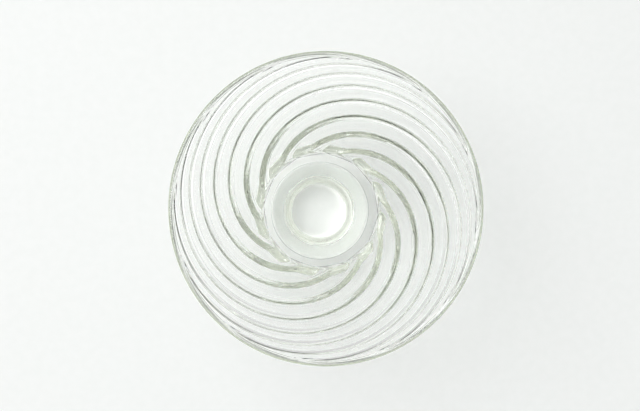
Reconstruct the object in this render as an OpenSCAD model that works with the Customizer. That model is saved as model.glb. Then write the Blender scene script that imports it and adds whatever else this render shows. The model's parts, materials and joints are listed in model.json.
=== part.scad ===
// Pour-over dripper: a spiral-ribbed glass cone in a small clear foot.
// Z is up. The origin is on the axis, on the surface that the foot stands on.

/* [Cone] */
// Outer diameter of the rim
rim_d = 116; // [112:1:120]
// Height of the rim above the surface
height = 86; // [84:1:90]
// Full angle of the cone
cone_angle = 60; // [59:0.5:61]
// Glass thickness at the rim, in the channels between ribs
rim_wall = 1.3; // [1.1:0.1:1.6]
// Glass thickness at the bottom, in the channels between ribs
low_wall = 2.5; // [2.2:0.1:2.8]

/* [Ribs] */
// Number of spiral ribs
rib_count = 12; // [10:1:14]
// How far each rib turns from its inner end to the rim, in degrees
rib_turn = 195; // [150:5:210]
// How much slower a rib climbs at the rim than on average
rib_ease = 0.588; // [0.4:0.01:0.62]
// Height of a rib low in the cone
rib_depth = 2.2; // [1.6:0.1:2.4]
// Height of a rib where it meets the rim
rib_rim_depth = 0.7; // [0.5:0.1:1]
// Radius at which the channels between ribs end
rib_start_r = 23.7; // [23:0.1:26]
// Direction of the first rib's inner end, in degrees from +X
rib_start_angle = 5; // [0:1:29]

/* [Neck] */
// Diameter of the drain hole
drain_d = 22; // [20:0.5:22.5]
// Outer diameter of the glass neck
neck_d = 33.2; // [32.8:0.1:33.2]
// Gap between the end of the neck and the surface
neck_gap = 1; // [0.8:0.1:1.5]

/* [Foot] */
// Diameter of the spigot that drops into a server's mouth
spigot_d = 40.8; // [40.6:0.1:41.2]
// Length of the spigot
spigot_h = 6; // [5.5:0.1:6]
// Outer diameter of the collar above the spigot
collar_d = 44.8; // [44.4:0.1:45.6]
// Diameter of the collar's bore
bore_d = 37.3; // [37.2:0.1:37.4]
// Thickness of the silicone seal under the cone
seal_t = 1.3; // [1.2:0.05:1.4]

/* [Hidden] */

$fn = 96;
rim_r = rim_d / 2;
drain_r = drain_d / 2;
neck_r = neck_d / 2;
spigot_r = spigot_d / 2;
collar_r = collar_d / 2;
collar_bore_r = bore_d / 2;
slope = cone_angle / 2; // of the wall, from the axis
spread = tan(slope); // radius gained for each unit of height

fit_gap = 0.05; // running fit between a shaft and its hole
seat_gap = 0.12; // between the cone's underside and the seal
skin_gap = 0.05; // between the seal and the collar that holds it

edge_r = 0.6; // rounding of the glass edges
edge_steps = 6;
rib_rows = 30; // rows of the ribbed surface, from a channel's end to the rim
row_ease = 1.25; // makes those rows closer where the channels end
nose_turn = 0.034; // share of a rib's run that a channel's round end takes
nose_rise = 0.7; // how gently the channel's floor rises there
rib_share = 0.10; // half of a rib's width, as a share of the rib spacing
rib_root_share = 0.11; // what its broad inner end adds to that
rib_root_turn = 0.10; // share of a rib's run over which that fades
rib_shoulder = 0.7; // where a rib's side is bent, between its crest and its foot
places = 8; // points across one rib and channel
above_rim = 2; // how far the cutting shapes pass the rim

seal_low_z = spigot_h + 0.3; // underside of the seal, just above the spigot
seat_inset = seal_t / cos(slope); // from the cone's outside to the collar's seat
collar_lip = 0.8; // width of the collar's top edge
collar_top_z = outside_z(collar_r - collar_lip - seat_inset);
seal_lip = 1.4; // how far the seal stands above that edge

function mix(a, b, t) = a + (b - a) * t;

// Radius of the cone's smooth outside at height z, and the reverse
function outside_r(z) = rim_r - (height - z) * spread;
function outside_z(r) = height - (rim_r - r) / spread;

// The ribbed inside, along a rib from t = 0 at its inner end to t = 1 at the rim
function wall_at(t) = mix(low_wall, rim_wall, t);
function depth_at(t) = mix(rib_depth, rib_rim_depth, pow(t, 3));
function inset_at(t) = (wall_at(t) + depth_at(t)) / cos(slope);
function crest_r(t) = mix(rib_start_r, rim_r - inset_at(1), (1 + rib_ease) * t - rib_ease * t * t);
function crest_z(t) = outside_z(crest_r(t) + inset_at(t));

// Half of a rib's width, and the places of the points across it, as shares of the rib spacing
function rib_half(t) = rib_share + rib_root_share * exp(-t / rib_root_turn);
function place_at(i, t) =
    let (half = rib_half(t))
    [0, rib_shoulder * half, half, 0.32, 0.5, 0.68, 1 - half, 1 - rib_shoulder * half][i];

// A rib's height over the channels beside it, and how deep the channels are, from 0 to 1
function arch(x) = sqrt(max(0, 1 - x * x));
function rib_height(place, t) = arch(min(place, 1 - place) / rib_half(t));
function nose_depth(place, t) =
    let (past = t / nose_turn - 1 + arch(abs(2 * place - 1)))
    arch(1 - min(1, max(0, past / nose_rise)));
function channel(place, t) = (1 - rib_height(place, t)) * nose_depth(place, t);

// Point i of the ribbed surface across rib number k
function ribbed_point(k, i, t, lift = 0) =
    let (
        place = place_at(i, t),
        cut = depth_at(t) * channel(place, t),
        angle = rib_start_angle - rib_turn * t + (k + place) * 360 / rib_count,
        r = crest_r(t) + cut * cos(slope)
    )
    [r * cos(angle), r * sin(angle), lift > 0 ? height + lift : crest_z(t) - cut * sin(slope)];

low_inset = (low_wall + rib_depth) / cos(slope);
rib_low_z = crest_z(0); // height at which the channels end
throat_z = outside_z(drain_r + low_inset); // where the cone and the drain would meet
throat_blend = 3; // the corner there is rounded this far up and down
neck_top_z = outside_z(neck_r); // where the neck and the cone's outside meet
drain_top_z = throat_z - throat_blend; // top of the drain's straight wall

// Points of a quarter turn about (x, z), from angle a
function quarter(x, z, a) =
    [for (i = [0:edge_steps])
        let (turn = a + 90 * i / edge_steps)
        [x + edge_r * cos(turn), z + edge_r * sin(turn)]];

// Points of a curve from a to c that leaves a towards b
function bend(a, b, c) =
    [for (i = [0:edge_steps]) let (t = i / edge_steps) mix(mix(a, b, t), mix(b, c, t), t)];

module turned(points) {
    rotate_extrude() polygon(points);
}

// The glass before it is hollowed out
module cone_blank() {
    turned(concat(
        [[0, neck_gap]],
        quarter(neck_r - edge_r, neck_gap + edge_r, -90),
        bend([neck_r, neck_top_z - 1], [neck_r, neck_top_z], [outside_r(neck_top_z + 1), neck_top_z + 1]),
        quarter(rim_r - edge_r, height - edge_r, 0),
        [[0, height]]
    ));
}

// The drain and the smooth funnel above it, up to where the channels begin
module throat() {
    turned(concat(
        [[0, -1], [drain_r, -1]],
        bend(
            [drain_r, drain_top_z],
            [drain_r, throat_z],
            [drain_r + throat_blend * spread, throat_z + throat_blend]
        ),
        [[rib_start_r - 0.06, rib_low_z - 0.1], [rib_start_r - 0.06, rib_low_z + 1], [0, rib_low_z + 1]]
    ));
}

// The inside of the cone above the throat, with a channel between each two ribs
module ribbed_hollow() {
    around = rib_count * places;
    rows = rib_rows + 2;
    points = [
        for (row = [0:rib_rows + 1])
            let (t = pow(min(row, rib_rows) / rib_rows, row_ease))
            for (k = [0:rib_count - 1])
                for (i = [0:places - 1])
                    ribbed_point(k, i, t, row > rib_rows ? above_rim : 0)
    ];
    sides = [
        for (row = [0:rows - 2])
            for (i = [0:around - 1])
                let (a = row * around + i, b = row * around + (i + 1) % around)
                for (face = [[a, b, b + around], [a, b + around, a + around]])
                    [face[2], face[1], face[0]]
    ];
    floor_face = [[for (i = [0:around - 1]) i]];
    top_face = [[for (i = [0:around - 1]) (rows - 1) * around + around - 1 - i]];
    polyhedron(points, concat(sides, floor_face, top_face), convexity = 6);
}

module glass_cone() {
    color([0.88, 0.93, 0.88, 0.35])
        difference() {
            cone_blank();
            throat();
            ribbed_hollow();
        }
}

// Silicone sleeve around the neck, flared to carry the cone
module neck_seal() {
    sleeve_r = collar_bore_r - skin_gap;
    outer_shift = seat_inset - skin_gap;
    top_z = collar_top_z + seal_lip;
    color([0.86, 0.88, 0.86])
        turned([
            [neck_r + fit_gap, seal_low_z],
            [sleeve_r, seal_low_z],
            [sleeve_r, outside_z(sleeve_r - outer_shift)],
            [outside_r(top_z - 0.4) + outer_shift, top_z - 0.4],
            [outside_r(top_z - 0.4) + outer_shift - 0.2, top_z],
            [outside_r(top_z) + seat_gap, top_z],
            [outside_r(neck_top_z + 1) + seat_gap, neck_top_z + 1],
            [neck_r + fit_gap, neck_top_z - 0.6]
        ]);
}

// Clear collar: spigot below, shoulder, and a conical seat on top
module foot_collar() {
    color([0.9, 0.93, 0.92, 0.5])
        turned([
            [collar_bore_r, 0],
            [spigot_r - 0.5, 0],
            [spigot_r, 0.5],
            [spigot_r, spigot_h],
            [collar_r - 0.5, spigot_h],
            [collar_r, spigot_h + 0.5],
            [collar_r, collar_top_z - 0.4],
            [collar_r - 0.4, collar_top_z],
            [collar_r - collar_lip, collar_top_z],
            [collar_bore_r, outside_z(collar_bore_r - seat_inset)]
        ]);
}

glass_cone();
neck_seal();
foot_collar();
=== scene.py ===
"""A spiral-ribbed glass dripper on a pale table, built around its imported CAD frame.

Lengths of the object and the camera are in millimetres until Blender takes them. Those of the table,
the light and the materials are in metres. z is height above the table.
"""

import json
import math

import bpy
import numpy as np
from mathutils import Matrix, Vector


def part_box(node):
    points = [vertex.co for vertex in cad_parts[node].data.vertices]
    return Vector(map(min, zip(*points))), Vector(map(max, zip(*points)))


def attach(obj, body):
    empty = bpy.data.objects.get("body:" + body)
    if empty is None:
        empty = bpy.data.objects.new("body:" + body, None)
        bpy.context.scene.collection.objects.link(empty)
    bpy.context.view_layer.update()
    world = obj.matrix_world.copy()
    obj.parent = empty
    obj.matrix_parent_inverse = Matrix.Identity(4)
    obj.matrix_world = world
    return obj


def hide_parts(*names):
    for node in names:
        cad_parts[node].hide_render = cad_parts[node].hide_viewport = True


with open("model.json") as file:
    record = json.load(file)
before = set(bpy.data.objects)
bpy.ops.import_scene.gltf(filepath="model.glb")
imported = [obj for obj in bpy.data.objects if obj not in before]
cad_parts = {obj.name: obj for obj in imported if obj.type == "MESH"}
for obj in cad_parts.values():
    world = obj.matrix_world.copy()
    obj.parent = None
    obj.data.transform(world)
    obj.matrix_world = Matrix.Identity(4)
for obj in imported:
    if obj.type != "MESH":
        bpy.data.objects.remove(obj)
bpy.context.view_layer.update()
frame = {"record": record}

MM = 0.001


def mix(a, b, t):
    return a + (b - a) * t


# ---------------------------------------------------------------- sizes taken from the frame

def node_box(node):
    low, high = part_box(node)
    return [v / MM for v in low], [v / MM for v in high]


cone_low, cone_high = node_box("glass_cone")
seal_low, seal_high = node_box("neck_seal")
_, collar_high = node_box("foot_collar")

RIM_R = cone_high[0]
RIM_Z = cone_high[2]
NECK_Z = cone_low[2]
COLLAR_R, COLLAR_TOP = collar_high[0], collar_high[2]
SEAL_LOW, SEAL_TOP = seal_low[2], seal_high[2]
SPIGOT_R = next(m["dims"]["r_mm"] for m in frame["record"]["mounts"] if m["name"] == "foot_spigot")

# ---------------------------------------------------------------- the design, as in the CAD

SLOPE = math.radians(30)
SPREAD = math.tan(SLOPE)
RIM_WALL, LOW_WALL = 1.3, 2.5
RIBS, RIB_TURN, RIB_EASE = 12, 195, 0.588
RIB_DEPTH, RIB_RIM_DEPTH = 2.2, 0.7
RIB_START_R, RIB_START_ANGLE = 23.7, 5
DRAIN_R, NECK_R = 11.0, 16.6
EDGE_R = 0.6
THROAT_BLEND = 3.0
SPIGOT_H, COLLAR_BORE_R, COLLAR_LIP = 6.0, 18.65, 0.8
SEAL_T, FIT_GAP, SEAT_GAP, SKIN_GAP = 1.3, 0.05, 0.12, 0.05
SEAT_INSET = SEAL_T / math.cos(SLOPE)

# ---------------------------------------------------------------- how the visible meshes are made

STEPS = 720  # points around every ring of the glass
RIB_ROWS = 150  # rings of the glass from the channels' noses to the rim
ROW_EASE = 1.3  # draws those rings together where the channels end
NOSE_TURN, NOSE_RISE = 0.034, 0.7  # a channel's round end, as in the CAD
RIB_SHARE, RIB_ROOT_SHARE, RIB_ROOT_TURN = 0.10, 0.11, 0.10  # a rib's width, as in the CAD
LOW_CREST, RIM_CREST = 4.5, 2.0  # how flat a rib's crest is: 2 is round, and more is flatter
# The channels are softened around the cone, more at the rim than low down, and from ring to ring.
# These blurs and those of the streaks are counted in points of the mesh.
LOW_BLUR, RIM_BLUR, ROW_BLUR = 0.8, 1.8, 0.9
LIP_ANGLES = np.radians(np.linspace(180, 0, 13))
LIP_DROP = 0.05  # how far under the round lip the ribbed rings end
STREAK_SEED = 12
STREAK_AROUND, STREAK_ALONG = 1.6, 7.0  # blur around the cone, and along the ribs
STREAK_DEPTH = 0.2  # the deepest cut of a streak
STREAK_RUN = 0.3  # share of a rib's run over which the streaks fade
CORNER_POINTS = 8
CORNER_SHARE = 0.45  # the most of a straight side that one rounded corner takes


def outside_r(z):
    return RIM_R - (RIM_Z - z) * SPREAD


def outside_z(r):
    return RIM_Z - (RIM_R - r) / SPREAD


def wall_at(t):
    return mix(LOW_WALL, RIM_WALL, t)


def depth_at(t):
    return mix(RIB_DEPTH, RIB_RIM_DEPTH, t ** 3)


def inset_at(t):
    return (wall_at(t) + depth_at(t)) / math.cos(SLOPE)


def crest_r(t):
    return mix(RIB_START_R, RIM_R - inset_at(1), (1 + RIB_EASE) * t - RIB_EASE * t * t)


def crest_z(t):
    return outside_z(crest_r(t) + inset_at(t))


# ---------------------------------------------------------------- mesh helpers

def arc(x, z, radius, start, end, steps):
    """Points of an arc about (x, z), between two angles in degrees."""
    angles = np.radians(np.linspace(start, end, steps))
    return [(x + radius * math.cos(a), z + radius * math.sin(a)) for a in angles]


def bend(a, b, c, steps):
    """Points of a curve from a to c that leaves a towards b."""
    a, b, c = np.array(a), np.array(b), np.array(c)
    return [tuple((1 - t) ** 2 * a + 2 * t * (1 - t) * b + t * t * c) for t in np.linspace(0, 1, steps)]


def line(a, b, steps):
    """Points from a to b, without a and b themselves."""
    return [(mix(a[0], b[0], t), mix(a[1], b[1], t)) for t in np.linspace(0, 1, steps + 2)[1:-1]]


def ring_mesh(name, radius, height, turn, closing_shift=0):
    """A closed surface of rings. radius, height and turn (degrees) are arrays of rings by steps.
    The last ring joins the first one, whose points are closing_shift steps further round."""
    rings, steps = radius.shape
    angle = np.radians(turn)
    points = np.stack([radius * np.cos(angle), radius * np.sin(angle), height], -1).reshape(-1, 3) * MM
    row, col = np.meshgrid(np.arange(rings), np.arange(steps), indexing="ij")
    beside = (col + 1) % steps
    wraps = (row == rings - 1) * closing_shift
    above = (row + 1) % rings
    faces = np.stack(
        [
            row * steps + col,
            above * steps + (col + wraps) % steps,
            above * steps + (beside + wraps) % steps,
            row * steps + beside,
        ],
        -1,
    ).reshape(-1, 4)
    mesh = bpy.data.meshes.new(name)
    mesh.from_pydata(points.tolist(), [], faces.tolist())
    mesh.update()
    mesh.shade_smooth()
    piece = bpy.data.objects.new(name, mesh)
    bpy.context.scene.collection.objects.link(piece)
    return piece


def soften(field, sigma, axis, circular):
    """A small Gaussian blur of a grid along one axis."""
    reach = int(3 * sigma + 1)
    weights = np.exp(-0.5 * (np.arange(-reach, reach + 1) / sigma) ** 2)
    weights /= weights.sum()
    moved = np.moveaxis(field, axis, 0)
    padded = np.concatenate([moved[-reach:], moved, moved[:reach]]) if circular else np.concatenate(
        [moved[:1].repeat(reach, 0), moved, moved[-1:].repeat(reach, 0)]
    )
    blurred = sum(w * padded[i : i + len(moved)] for i, w in enumerate(weights))
    return np.moveaxis(blurred, 0, axis)


# ---------------------------------------------------------------- the glass cone

def rib_half(t):
    """Half of a rib's width, as a share of the rib spacing: broad at its inner end, then even."""
    return RIB_SHARE + RIB_ROOT_SHARE * np.exp(-t / RIB_ROOT_TURN)


def streaks(t, channel):
    """Fine seeded relief that runs along the ribs, strongest at their inner ends, from 0 to about 1."""
    field = np.random.default_rng(STREAK_SEED).normal(size=channel.shape)
    field = soften(soften(field, STREAK_AROUND, 1, True), STREAK_ALONG, 0, False)
    field = np.clip(0.5 + 0.25 * field / field.std(), 0, 1)
    return field * (1 - channel) * np.exp(-t / STREAK_RUN)[:, None]


def ribbed_rings():
    """The ribbed inside as rings of (radius, height, turn), from the channels' noses to the rim."""
    t = (np.arange(RIB_ROWS) / (RIB_ROWS - 1)) ** ROW_EASE
    per_rib = STEPS // RIBS
    q = np.arange(STEPS) / per_rib
    bunch = 0.5  # draws points towards the ribs, where the surface turns fastest
    place = q - bunch * np.sin(2 * np.pi * q) / (2 * np.pi)
    from_rib = np.minimum(place % 1.0, 1 - place % 1.0)[None, :]
    # at its inner end a rib's crest is flat and its sides are steep, and from halfway it is round
    power = mix(LOW_CREST, RIM_CREST, np.clip(t * 2, 0, 1))[:, None]
    rib = np.maximum(0, 1 - (from_rib / rib_half(t)[:, None]) ** power) ** (1 / power)
    # a channel's end is round in plan and rises steeply at its outline
    across = 1 - 2 * from_rib
    outline = 1 - np.sqrt(np.maximum(0, 1 - across ** 2))
    inside = np.clip((t[:, None] / NOSE_TURN - outline) / NOSE_RISE, 0, 1)
    floor = np.sqrt(1 - (1 - inside) ** 2)
    channel = (1 - rib) * floor
    crisp = soften(channel, LOW_BLUR, 1, True)
    channel = mix(crisp, soften(channel, RIM_BLUR, 1, True), t[:, None])
    channel = soften(channel, ROW_BLUR, 0, False)
    channel[0] = 0
    depth = np.array([depth_at(v) for v in t])[:, None]
    cut = depth * channel + STREAK_DEPTH * streaks(t, channel)
    cut[0] = 0
    radius = np.array([crest_r(v) for v in t])[:, None] + cut * math.cos(SLOPE)
    height = np.array([crest_z(v) for v in t])[:, None] - cut * math.sin(SLOPE)
    turn = RIB_START_ANGLE - RIB_TURN * t[:, None] + place[None, :] * 360 / RIBS
    return radius, height, turn


def glass_cone():
    radius, height, turn = ribbed_rings()
    lip_z = RIM_Z - EDGE_R
    # the topmost ribbed rings are levelled just under the round lip
    height = np.minimum(height, lip_z - LIP_DROP)
    inner = radius[-1]
    centre, half = (inner + RIM_R) / 2, (RIM_R - inner) / 2
    rim_rows = [centre + half * math.cos(a) for a in LIP_ANGLES]
    rim_heights = [np.full(STEPS, lip_z + EDGE_R * math.sin(a)) for a in LIP_ANGLES]
    neck_top = outside_z(NECK_R)
    throat_z = outside_z(DRAIN_R + inset_at(0))
    smooth = (
        line((RIM_R, lip_z), (outside_r(neck_top + 1), neck_top + 1), steps=40)
        + bend((outside_r(neck_top + 1), neck_top + 1), (NECK_R, neck_top), (NECK_R, neck_top - 1), steps=8)
        + line((NECK_R, neck_top - 1), (NECK_R, NECK_Z + EDGE_R), steps=8)
        + arc(NECK_R - EDGE_R, NECK_Z + EDGE_R, EDGE_R, start=0, end=-90, steps=7)
        + line((NECK_R - EDGE_R, NECK_Z), (DRAIN_R + EDGE_R, NECK_Z), steps=4)
        + arc(DRAIN_R + EDGE_R, NECK_Z + EDGE_R, EDGE_R, start=-90, end=-180, steps=7)
        + line((DRAIN_R, NECK_Z + EDGE_R), (DRAIN_R, throat_z - THROAT_BLEND), steps=8)
        + bend(
            (DRAIN_R, throat_z - THROAT_BLEND),
            (DRAIN_R, throat_z),
            (DRAIN_R + THROAT_BLEND * SPREAD, throat_z + THROAT_BLEND),
            steps=14,
        )
        + line(
            (DRAIN_R + THROAT_BLEND * SPREAD, throat_z + THROAT_BLEND), (crest_r(0), crest_z(0)), steps=20
        )
    )
    smooth_r = np.repeat(np.array([p[0] for p in smooth])[:, None], STEPS, 1)
    smooth_z = np.repeat(np.array([p[1] for p in smooth])[:, None], STEPS, 1)
    rest_r = np.concatenate([np.array(rim_rows), smooth_r])
    rest_z = np.concatenate([np.array(rim_heights), smooth_z])
    rest_turn = np.repeat(turn[-1][None, :], len(rest_r), 0)
    shift = round(RIB_TURN * STEPS / 360)
    # the rings past the ribs keep the last ring's turn, so the closing faces step back by it
    return ring_mesh(
        "cone_glass",
        np.concatenate([radius, rest_r]),
        np.concatenate([height, rest_z]),
        np.concatenate([turn, rest_turn]),
        shift,
    )


# ---------------------------------------------------------------- the foot

def rounded(corners):
    """A closed outline from corners of (radius, z, rounding), each rounded off by a short curve."""
    points = []
    for i, (x, z, rounding) in enumerate(corners):
        here = np.array((x, z))
        before = np.array(corners[i - 1][:2]) - here
        after = np.array(corners[(i + 1) % len(corners)][:2]) - here
        cuts = [v * min(rounding / np.linalg.norm(v), CORNER_SHARE) for v in (before, after)]
        points += bend(here + cuts[0], here, here + cuts[1], CORNER_POINTS)
    return points


def turned_piece(name, corners, steps=360):
    outline = np.array(rounded(corners))
    turn = np.repeat(np.linspace(0, 360, steps, endpoint=False)[None, :], len(outline), 0)
    return ring_mesh(name, outline[:, :1].repeat(steps, 1), outline[:, 1:].repeat(steps, 1), turn)


def silicone_seal():
    neck_top = outside_z(NECK_R)
    sleeve_r = COLLAR_BORE_R - SKIN_GAP
    shift = SEAT_INSET - SKIN_GAP
    return turned_piece(
        "seal_sleeve",
        [
            (NECK_R + FIT_GAP, SEAL_LOW, 0.3),
            (NECK_R + FIT_GAP, neck_top - 0.6, 0.4),
            (outside_r(neck_top + 1) + SEAT_GAP, neck_top + 1, 0.4),
            (outside_r(SEAL_TOP) + SEAT_GAP, SEAL_TOP, 0.3),
            (outside_r(SEAL_TOP - 0.4) + shift - 0.2, SEAL_TOP, 0.3),
            (outside_r(SEAL_TOP - 0.4) + shift, SEAL_TOP - 0.4, 0.3),
            (sleeve_r, outside_z(sleeve_r - shift), 0.4),
            (sleeve_r, SEAL_LOW, 0.3),
        ],
    )


def clear_collar():
    return turned_piece(
        "collar_ring",
        [
            (COLLAR_BORE_R, 0, 0.3),
            (COLLAR_BORE_R, outside_z(COLLAR_BORE_R - SEAT_INSET), 0.3),
            (COLLAR_R - COLLAR_LIP, COLLAR_TOP, 0.2),
            (COLLAR_R, COLLAR_TOP, 0.5),
            (COLLAR_R, SPIGOT_H, 0.6),
            (SPIGOT_R, SPIGOT_H, 0.3),
            (SPIGOT_R, 0, 0.6),
        ],
    )


# ---------------------------------------------------------------- materials

def new_material(name):
    material = bpy.data.materials.new(name)
    material.use_nodes = True
    tree = material.node_tree
    return material, tree, tree.nodes["Principled BSDF"], tree.nodes["Material Output"]


def noise(tree, scale, detail=3.0):
    """Noise in the object's own space, with a scale in cycles per metre."""
    coords = tree.nodes.new("ShaderNodeTexCoord")
    texture = tree.nodes.new("ShaderNodeTexNoise")
    texture.inputs["Scale"].default_value = scale
    texture.inputs["Detail"].default_value = detail
    tree.links.new(coords.outputs["Object"], texture.inputs["Vector"])
    return texture.outputs["Fac"]


def vary(tree, source, low, high, socket):
    """Drive a socket from low to high with a noise."""
    spread = tree.nodes.new("ShaderNodeMapRange")
    for name, value in (("From Min", 0.3), ("From Max", 0.7), ("To Min", low), ("To Max", high)):
        spread.inputs[name].default_value = value
    tree.links.new(source, spread.inputs["Value"])
    tree.links.new(spread.outputs["Result"], socket)


def blend_colours(tree, source, first, second, socket):
    ramp = tree.nodes.new("ShaderNodeValToRGB")
    for stop, position, colour in zip(ramp.color_ramp.elements, (0.35, 0.65), (first, second)):
        stop.position = position
        stop.color = (*colour, 1)
    tree.links.new(source, ramp.inputs["Fac"])
    tree.links.new(ramp.outputs["Color"], socket)


def add_bump(tree, shader, source, height, strength=1.0):
    bump = tree.nodes.new("ShaderNodeBump")
    bump.inputs["Strength"].default_value = strength
    bump.inputs["Distance"].default_value = height
    tree.links.new(source, bump.inputs["Height"])
    tree.links.new(bump.outputs["Normal"], shader.inputs["Normal"])


def clear_glass():
    material, tree, shader, output = new_material("clear_glass")
    shader.inputs["Transmission Weight"].default_value = 1.0
    shader.inputs["IOR"].default_value = 1.48
    blend_colours(tree, noise(tree, 25), (0.992, 1.0, 0.992), (1.0, 1.0, 1.0), shader.inputs["Base Color"])
    vary(tree, noise(tree, 900), 0.0, 0.02, shader.inputs["Roughness"])
    # the slow waviness of pressed glass
    add_bump(tree, shader, noise(tree, 70, 1.0), 0.00002)
    body = tree.nodes.new("ShaderNodeVolumeAbsorption")
    body.inputs["Color"].default_value = (0.72, 0.78, 0.58, 1)
    body.inputs["Density"].default_value = 9
    tree.links.new(body.outputs[0], output.inputs["Volume"])
    return material


def milky_silicone():
    material, tree, shader, _ = new_material("milky_silicone")
    shader.inputs["IOR"].default_value = 1.41
    shader.inputs["Transmission Weight"].default_value = 0.45
    blend_colours(
        tree, noise(tree, 180), (0.94, 0.948, 0.94), (0.965, 0.97, 0.965), shader.inputs["Base Color"]
    )
    vary(tree, noise(tree, 1500), 0.42, 0.6, shader.inputs["Roughness"])
    add_bump(tree, shader, noise(tree, 4000), 0.00001)
    return material


def frosted_plastic():
    material, tree, shader, _ = new_material("frosted_plastic")
    shader.inputs["Transmission Weight"].default_value = 1.0
    shader.inputs["IOR"].default_value = 1.46
    blend_colours(
        tree, noise(tree, 120), (0.97, 0.98, 0.975), (0.99, 0.995, 0.99), shader.inputs["Base Color"]
    )
    vary(tree, noise(tree, 1200), 0.06, 0.14, shader.inputs["Roughness"])
    add_bump(tree, shader, noise(tree, 3000), 0.00001)
    return material


def pale_table():
    material, tree, shader, _ = new_material("pale_table")
    blend_colours(
        tree, noise(tree, 260), (0.832, 0.84, 0.832), (0.846, 0.852, 0.846), shader.inputs["Base Color"]
    )
    vary(tree, noise(tree, 600), 0.62, 0.78, shader.inputs["Roughness"])
    add_bump(tree, shader, noise(tree, 1800), 0.00002, 0.4)
    return material


# ---------------------------------------------------------------- the object

for piece, material, body, node, slot in (
    (glass_cone(), clear_glass(), "cone", "glass_cone", "glass"),
    (silicone_seal(), milky_silicone(), "foot", "neck_seal", "seal"),
    (clear_collar(), frosted_plastic(), "foot", "foot_collar", "collar"),
):
    piece.data.materials.append(material)
    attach(piece, body)
    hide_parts(node)

# ---------------------------------------------------------------- table, light and camera

TABLE_GAP = 0.0002  # metres from the table up to the foot, so that their faces don't coincide
TABLE_REACH = 3.0  # metres from the middle of the table to its edge

floor_mesh = bpy.data.meshes.new("table_top")
floor_mesh.from_pydata(
    [(x * TABLE_REACH, y * TABLE_REACH, -TABLE_GAP) for x, y in ((-1, -1), (1, -1), (1, 1), (-1, 1))],
    [],
    [(0, 1, 2, 3)],
)
table = bpy.data.objects.new("table_top", floor_mesh)
bpy.context.scene.collection.objects.link(table)
floor_mesh.materials.append(pale_table())

world = bpy.data.worlds.new("studio")
bpy.context.scene.world = world
world.use_nodes = True
sky = world.node_tree
background = sky.nodes["Background"]
background.inputs["Strength"].default_value = 1.0
way_in = sky.nodes.new("ShaderNodeTexCoord")


def sky_part(way, low, high, low_value, high_value):
    """A smooth patch of the sky: low_value away from a direction, high_value towards it."""
    toward = sky.nodes.new("ShaderNodeVectorMath")
    toward.operation = "DOT_PRODUCT"
    toward.inputs[1].default_value = Vector(way).normalized()
    sky.links.new(way_in.outputs["Generated"], toward.inputs[0])
    patch = sky.nodes.new("ShaderNodeMapRange")
    patch.interpolation_type = "SMOOTHSTEP"
    for name, value in (("From Min", low), ("From Max", high), ("To Min", low_value), ("To Max", high_value)):
        patch.inputs[name].default_value = value
    sky.links.new(toward.outputs["Value"], patch.inputs["Value"])
    return patch.outputs["Result"]


def times(a, b):
    product = sky.nodes.new("ShaderNodeMath")
    product.operation = "MULTIPLY"
    sky.links.new(a, product.inputs[0])
    sky.links.new(b, product.inputs[1])
    return product.outputs[0]


# The sky is brightest low on the window's side, and brighter near and below the horizon.
WINDOW_X, WINDOW_Y = -0.87, 0.49  # the way to the window, seen from above
room = sky_part((WINDOW_X, WINDOW_Y, 0.5), low=-0.5, high=0.8, low_value=0.56, high_value=0.97)
horizon = sky_part((0, 0, 1), low=0.0, high=0.35, low_value=1.25, high_value=1.0)
level = times(room, horizon)
tint = sky.nodes.new("ShaderNodeCombineColor")
for channel, share in (("Red", 0.985), ("Green", 1.0), ("Blue", 0.99)):
    tinted = sky.nodes.new("ShaderNodeMath")
    tinted.operation = "MULTIPLY"
    tinted.inputs[1].default_value = share
    sky.links.new(level, tinted.inputs[0])
    sky.links.new(tinted.outputs[0], tint.inputs[channel])
sky.links.new(tint.outputs["Color"], background.inputs["Color"])

WINDOW_DISTANCE = 1.3  # metres
WINDOW_LEAN, WINDOW_RISE = 0.466, 0.885  # how far the way to the light leans out, and how far it rises
window_way = Vector((WINDOW_X * WINDOW_LEAN, WINDOW_Y * WINDOW_LEAN, WINDOW_RISE))
window_light = bpy.data.lights.new("window", "AREA")
window_light.shape = "RECTANGLE"
window_light.size = 0.7
window_light.size_y = 0.7
window_light.energy = 5.6
window = bpy.data.objects.new("window", window_light)
window.location = window_way * WINDOW_DISTANCE
window.rotation_euler = (-window_way).to_track_quat("-Z", "Y").to_euler()
bpy.context.scene.collection.objects.link(window)

# The camera looks almost straight down, from a little to the left of the axis and in front of it.
CAMERA_ABOVE_RIM = 550
CAMERA_X, CAMERA_Y = -24.6, -8.2
VIEW_AXIS_BACK = Vector((-0.0403, -0.0168, 1.0)).normalized()
LENS = 84.3
camera_data = bpy.data.cameras.new("camera")
camera_data.sensor_width = 36
camera_data.lens = LENS
camera = bpy.data.objects.new("camera", camera_data)
right = Vector((0, 1, 0)).cross(VIEW_AXIS_BACK).normalized()
up = VIEW_AXIS_BACK.cross(right)
camera_place = Matrix((right, up, VIEW_AXIS_BACK)).transposed().to_4x4()
camera_place.translation = Vector((CAMERA_X, CAMERA_Y, RIM_Z + CAMERA_ABOVE_RIM)) * MM
camera.matrix_world = camera_place
bpy.context.scene.collection.objects.link(camera)
bpy.context.scene.camera = camera

cycles = bpy.context.scene.cycles
# Light crosses many layers of glass here, so its paths are long and none of it is clamped away.
cycles.max_bounces = 64
cycles.transmission_bounces = 64
cycles.diffuse_bounces = 16
cycles.glossy_bounces = 12
cycles.sample_clamp_direct = 0
cycles.sample_clamp_indirect = 0
cycles.blur_glossy = 0
cycles.caustics_refractive = True
cycles.caustics_reflective = True
bpy.context.scene.view_settings.view_transform = "Standard"
